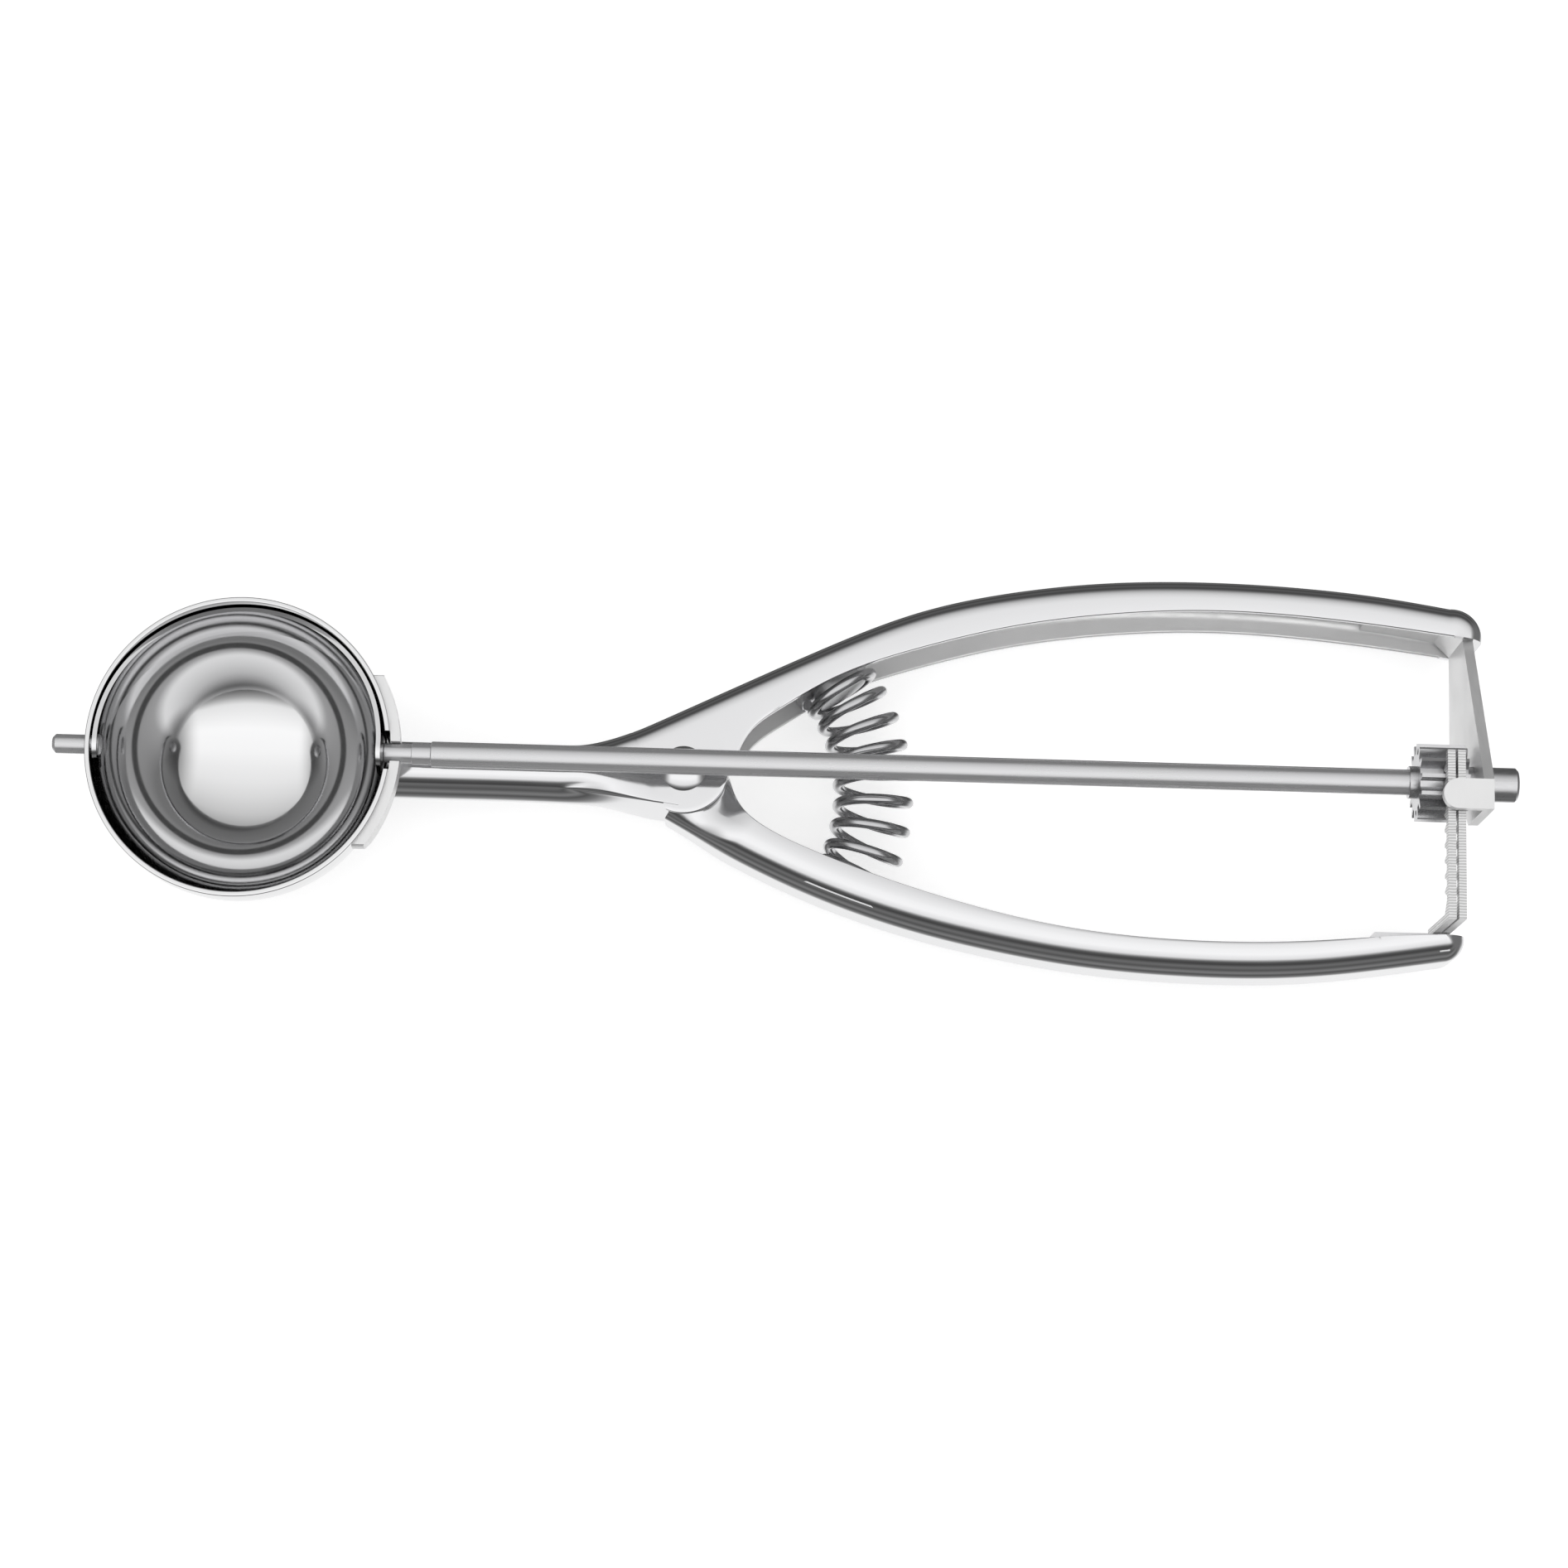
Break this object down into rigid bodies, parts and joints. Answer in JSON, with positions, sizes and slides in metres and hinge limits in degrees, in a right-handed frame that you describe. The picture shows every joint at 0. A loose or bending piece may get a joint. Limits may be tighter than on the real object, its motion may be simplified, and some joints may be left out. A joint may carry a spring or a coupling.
{
  "type": "lever ice cream scoop",
  "caption": "Stainless squeeze-handle scoop: a spring-loaded lever drives racks and a pinion that turn a scraper blade inside a hemispherical bowl.",
  "frame": {"origin": "centre of the bowl's hemisphere, on the axis of the drive rod and scraper", "axes": "+X along the drive rod from the bowl to the rear bearing, +Z out of the bowl's mouth, +Y towards the fixed handle"},
  "size_m": [0.2327, 0.0647, 0.0343],
  "materials": {
    "polished_steel": "mirror-polished stainless steel sheet",
    "brushed_steel": "stamped stainless strip with sheared, brushed edges",
    "turned_steel": "turned and polished stainless bar",
    "spring_steel": "drawn stainless spring wire"
  },
  "bodies": {
    "frame": {"bowl": "polished_steel", "bowl_saddle": "brushed_steel", "fixed_handle": "polished_steel", "bearing_strap": "brushed_steel", "pivot_rivet": "polished_steel", "spring_seat_upper": "brushed_steel", "return_spring": "spring_steel"},
    "lever": {"lever_handle": "polished_steel", "rack_front": "brushed_steel", "rack_rear": "brushed_steel", "rack_bracket": "brushed_steel", "spring_seat_lower": "brushed_steel", "pivot_sleeve": "turned_steel"},
    "scraper": {"drive_rod": "turned_steel", "scraper_blade": "turned_steel", "front_pin": "turned_steel", "pinion": "turned_steel"}
  },
  "joints": [
    {"name": "lever_squeeze", "type": "hinge", "parent": "frame", "child": "lever", "pos_m": [0.0705, 0, 0], "axis": [0, 0, 1], "range_deg": [0, 7.2], "stiffness_Nm_per_rad": 4, "springref_deg": -6.88, "deforming": ["return_spring"]},
    {"name": "scraper_spin", "type": "hinge", "parent": "frame", "child": "scraper", "pos_m": [0, 0, 0], "axis": [1, 0, 0], "range_deg": [-162, 0]}
  ],
  "couplings": [
    {"joint": "scraper_spin", "follows": "lever_squeeze", "ratio": -22.271}
  ]
}
